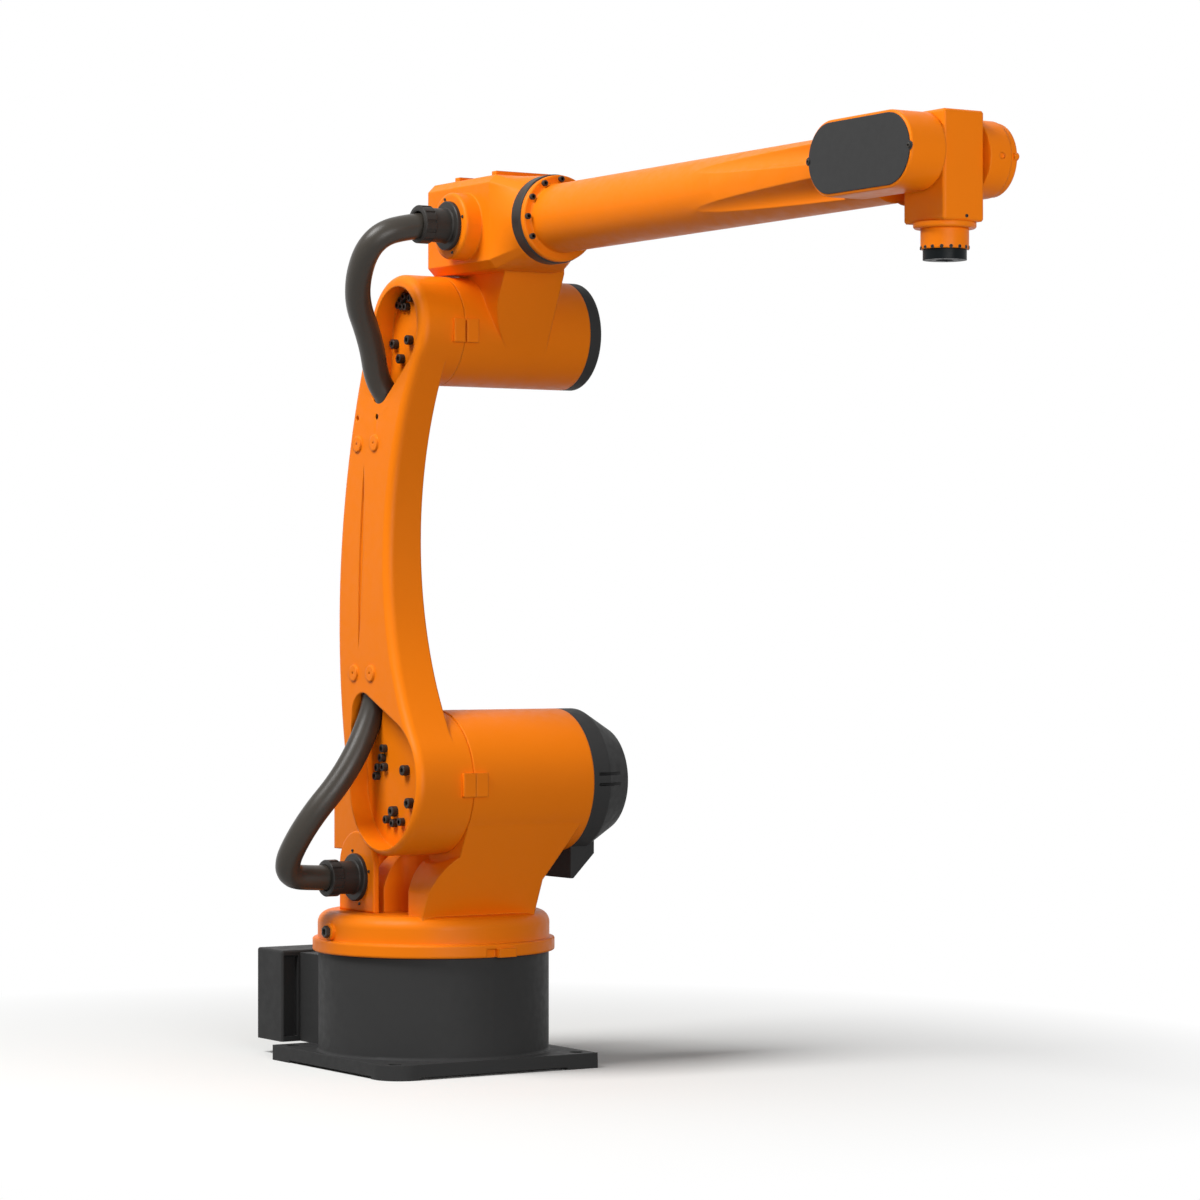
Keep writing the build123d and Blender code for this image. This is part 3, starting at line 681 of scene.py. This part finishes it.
# %% Slot lip
slot_centre = (0.084, -0.15, 1.112)
face_slope = 0.03434
slot_radius = 0.031
lip_width = 0.0165
lip_depth = 0.0012
lip_proud = 0.00004
lip_half_angle = radians(40)
lip_section = (
    (slot_radius, -lip_depth),
    (slot_radius + lip_width, -lip_depth),
    (slot_radius + lip_width, lip_proud),
    (slot_radius, lip_proud),
)
shape = bmesh.new()
corners = [shape.verts.new((radius, 0, height)) for radius, height in lip_section]
section = bmesh.ops.contextual_create(shape, geom=corners)["faces"]
lip_start = Matrix.Rotation(-pi / 2 - lip_half_angle, 3, "Z")
bmesh.ops.rotate(shape, verts=corners, cent=(0, 0, 0), matrix=lip_start)
bmesh.ops.spin(shape, geom=section, axis=(0, 0, 1), cent=(0, 0, 0), angle=2 * lip_half_angle, steps=24)
put(shape, list(shape.verts), slot_centre, (0, -1, face_slope))
flush_enamel = enamel(
    "orange_baked_enamel_flush",
    orange_tones,
    edge_tone=orange_tones[1],
    roughness=0.42,
    edge_round=0.0002,
    gloss_level=0.12,
)
piece("upper_slot_lip", shape, flush_enamel, "lower_arm")

# %% [markdown]
# ## Lug on the fork
# The right side of the fork has a small round lug at its front end, where the belt cover on the left has a
# screw. It is cast in one with the fork: a short boss with a rounded rim, spun from half of its outline.

# %% Lug on the right side of the fork
lug_place = (1.425, 0.078, 1.362)
lug_radius = 0.0055
lug_height = 0.0085
lug_round = 0.0012
lug_outline = (
    (0, 0),
    (lug_radius, 0),
    (lug_radius, lug_height - lug_round),
    (lug_radius - lug_round, lug_height),
    (0, lug_height),
)
shape = bmesh.new()
turn(shape, lug_outline, steps=24, closed=False)
put(shape, list(shape.verts), lug_place, (0, 1, 0))
piece("fork_lug", shape, orange_enamel, "forearm")

# %% [markdown]
# ## Oil plug
# The plug on the ring is a hexagon with a hexagon socket. It starts as a six-sided prism; its top edges are
# bevelled, the top face is inset and the inner face is pushed in.

# %% Oil plug
plug_angle = radians(-91)
plug_reach = 0.197
plug_z = 0.226
plug_radius = 0.010
plug_height = 0.0072
plug_rim = 0.0008
plug_land = 0.0030
plug_socket_taper = 0.0003
plug_socket_depth = 0.0045
shape = bmesh.new()
head(shape, 6, plug_radius, plug_height)
round_rim(shape, top_of(shape.faces), plug_rim)
top = top_of(shape.faces)
bmesh.ops.inset_region(shape, faces=[top], thickness=plug_land)
bmesh.ops.inset_region(shape, faces=[top], thickness=plug_socket_taper, depth=-plug_socket_depth)
outward = Vector((cos(plug_angle), sin(plug_angle), 0))
put(shape, list(shape.verts), plug_reach * outward + Vector((0, 0, plug_z)), outward)
plug = piece("oil_plug_head", shape, screw_steel, "carousel")
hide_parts("oil_plug")

# %% [markdown]
# ## Studio
# The floor and the background are plain and pale. Close to the arm the floor is paper that takes its
# shadow, and further away it fades into the white of the background, so no horizon shows. That holds for
# the rays that reach the camera, also by way of gloss or glass. For light that bounces the floor is a mid
# grey, because white paper would light the undersides of the arm far more than the photograph shows.


# %% Floor
def seen_rays(look):
    """1 for rays that reach the camera, also by way of gloss or glass, and 0 for light that bounces."""
    seen = node(look, "ShaderNodeLightPath", "Is Camera Ray")
    for kind in ("Is Glossy Ray", "Is Transmission Ray"):
        ray = node(look, "ShaderNodeLightPath", kind)
        seen = node(look, "ShaderNodeMath", "Value", {"operation": "MAXIMUM", 0: seen, 1: ray})
    return seen


floor_size = 40
floor_shape = bmesh.new()
bmesh.ops.create_grid(floor_shape, x_segments=1, y_segments=1, size=floor_size)
floor_mesh = bpy.data.meshes.new("studio_floor")
floor_shape.to_mesh(floor_mesh)
floor_shape.free()
studio_floor = bpy.data.objects.new("studio_floor", floor_mesh)
scene.collection.objects.link(studio_floor)
print("floor laid,", 2 * floor_size, "m wide")

# %% Floor paper
fade_start = 0.45
fade_end = 1.5
white = linear("#FFFFFF")
floor_look, paper = blank_material("pale_studio_paper")
paper.inputs["Base Color"].default_value = linear("#F6F6F4")
paper.inputs["Roughness"].default_value = 0.9
paper.inputs["Specular IOR Level"].default_value = 0.0
spot = node(floor_look, "ShaderNodeTexCoord", "Object")
away = node(floor_look, "ShaderNodeVectorMath", "Value", {"operation": "LENGTH", 0: spot})
far = node(
    floor_look, "ShaderNodeMapRange", "Result", {"Value": away, "From Min": fade_start, "From Max": fade_end}
)
seen = seen_rays(floor_look)
share = node(floor_look, "ShaderNodeMath", "Value", {"operation": "MULTIPLY", 0: far, 1: seen})
glow = node(floor_look, "ShaderNodeEmission", "Emission", {"Color": white, "Strength": 1.0})
grey = node(floor_look, "ShaderNodeBsdfDiffuse", "BSDF", {"Color": linear("#828282")})
bright = paper.outputs["BSDF"]
lit = node(floor_look, "ShaderNodeMixShader", "Shader", {0: seen, 1: grey, 2: bright})
cover = node(floor_look, "ShaderNodeMixShader", "Shader", {0: share, 1: lit, 2: glow})
floor_tree = floor_look.node_tree
floor_tree.links.new(cover, floor_tree.nodes["Material Output"].inputs["Surface"])
floor_mesh.materials.append(floor_look)
print("paper fades to white from", fade_start, "to", fade_end, "m")

# %% [markdown]
# A large soft lamp high on the left is the key, because the faces that look left are the brightest ones in
# the photograph, and a weaker one in front keeps the faces that look forward from going dull. The world is
# white for the rays that reach the camera, and only a weak fill as a light.

# %% Lamps
arm_middle = Vector((0.45, 0, 0.9))


def lamp(name, place, size, power):
    """A square area lamp that looks at the middle of the arm."""
    data = bpy.data.lights.new(name, "AREA")
    data.size = size
    data.energy = power
    made = bpy.data.objects.new(name, data)
    made.location = place
    made.rotation_euler = (arm_middle - Vector(place)).to_track_quat("-Z", "Y").to_euler()
    scene.collection.objects.link(made)
    print(name, "gives", power, "W")


lamp("key_lamp", (0.2, -3.1, 4.4), size=2.2, power=265)
lamp("front_lamp", (5.0, -1.2, 0.9), size=2.5, power=130)

# %% World
fill_level = 0.18
world = bpy.data.worlds.new("studio")
world.use_nodes = True
scene.world = world
sky = world.node_tree.nodes["Background"]
sky.inputs["Color"].default_value = white
level = node(
    world, "ShaderNodeMapRange", "Result", {"Value": seen_rays(world), "To Min": fill_level, "To Max": 1.0}
)
world.node_tree.links.new(level, sky.inputs["Strength"])
scene.view_settings.view_transform = "Standard"
print("world lights at", fill_level)

# %% [markdown]
# ## Last update
# The view layer is brought up to date once more.

# %% Update the view layer
bpy.context.view_layer.update()
